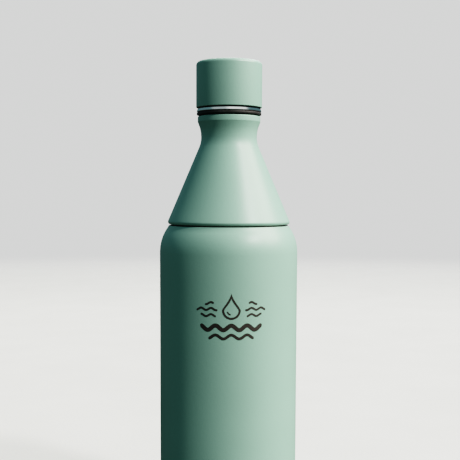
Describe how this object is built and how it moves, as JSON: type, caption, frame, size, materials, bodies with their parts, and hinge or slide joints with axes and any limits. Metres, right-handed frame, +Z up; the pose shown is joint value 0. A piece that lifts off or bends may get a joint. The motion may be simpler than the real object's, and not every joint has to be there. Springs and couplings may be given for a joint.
{
  "type": "insulated bottle",
  "caption": "Double-walled steel bottle with a rounded shoulder, a screw-on conical neck with a polished ring, and a cylindrical screw cap.",
  "frame": {"origin": "on the bottle's axis, in the plane of the foot ring's underside", "axes": "+Z up along the bottle's axis, +Y away from the side that carries the printed mark"},
  "size_m": [0.08, 0.08, 0.2735],
  "materials": {
    "powder_coat": "matte",
    "steel": "satin",
    "polished_steel": "polished",
    "copper_foil": "satin",
    "liner_plastic": "satin",
    "foam": "matte",
    "silicone": "matte",
    "seal_glass": "gloss",
    "getter_metal": "matte"
  },
  "bodies": {
    "bottle": {"outer_shell": "powder_coat", "inner_vessel": "steel", "copper_wrap": "copper_foil", "outer_base": "steel", "foot_ring": "silicone", "base_cover": "steel", "vacuum_seal": "seal_glass", "getter_clip": "steel", "getter": "getter_metal"},
    "neck_seal": {"neck_gasket": "silicone"},
    "neck": {"cone_shell": "powder_coat", "neck_insulation": "foam", "neck_liner": "liner_plastic", "spout": "steel", "spout_seal": "silicone", "rim_gasket": "silicone", "trim_ring": "polished_steel"},
    "cap_seal": {"cap_gasket": "silicone"},
    "cap": {"cap_shell": "powder_coat", "cap_liner": "liner_plastic", "cap_insulation": "foam"}
  },
  "joints": [
    {"name": "neck_lift", "type": "slide", "parent": "bottle", "child": "neck_seal", "axis": [0, 0, 1], "range_m": [0, 0.024]},
    {"name": "neck_turn", "type": "hinge", "parent": "neck_seal", "child": "neck", "pos_m": [0, 0, 0.18], "axis": [0, 0, 1], "range_deg": [0, 1080]},
    {"name": "cap_lift", "type": "slide", "parent": "neck", "child": "cap_seal", "axis": [0, 0, 1], "range_m": [0, 0.018]},
    {"name": "cap_turn", "type": "hinge", "parent": "cap_seal", "child": "cap", "pos_m": [0, 0, 0.2475], "axis": [0, 0, 1], "range_deg": [0, 1080]}
  ],
  "couplings": [
    {"joint": "neck_lift", "follows": "neck_turn", "m_per_rad": 0.0012732},
    {"joint": "cap_lift", "follows": "cap_turn", "m_per_rad": 0.00095493}
  ]
}
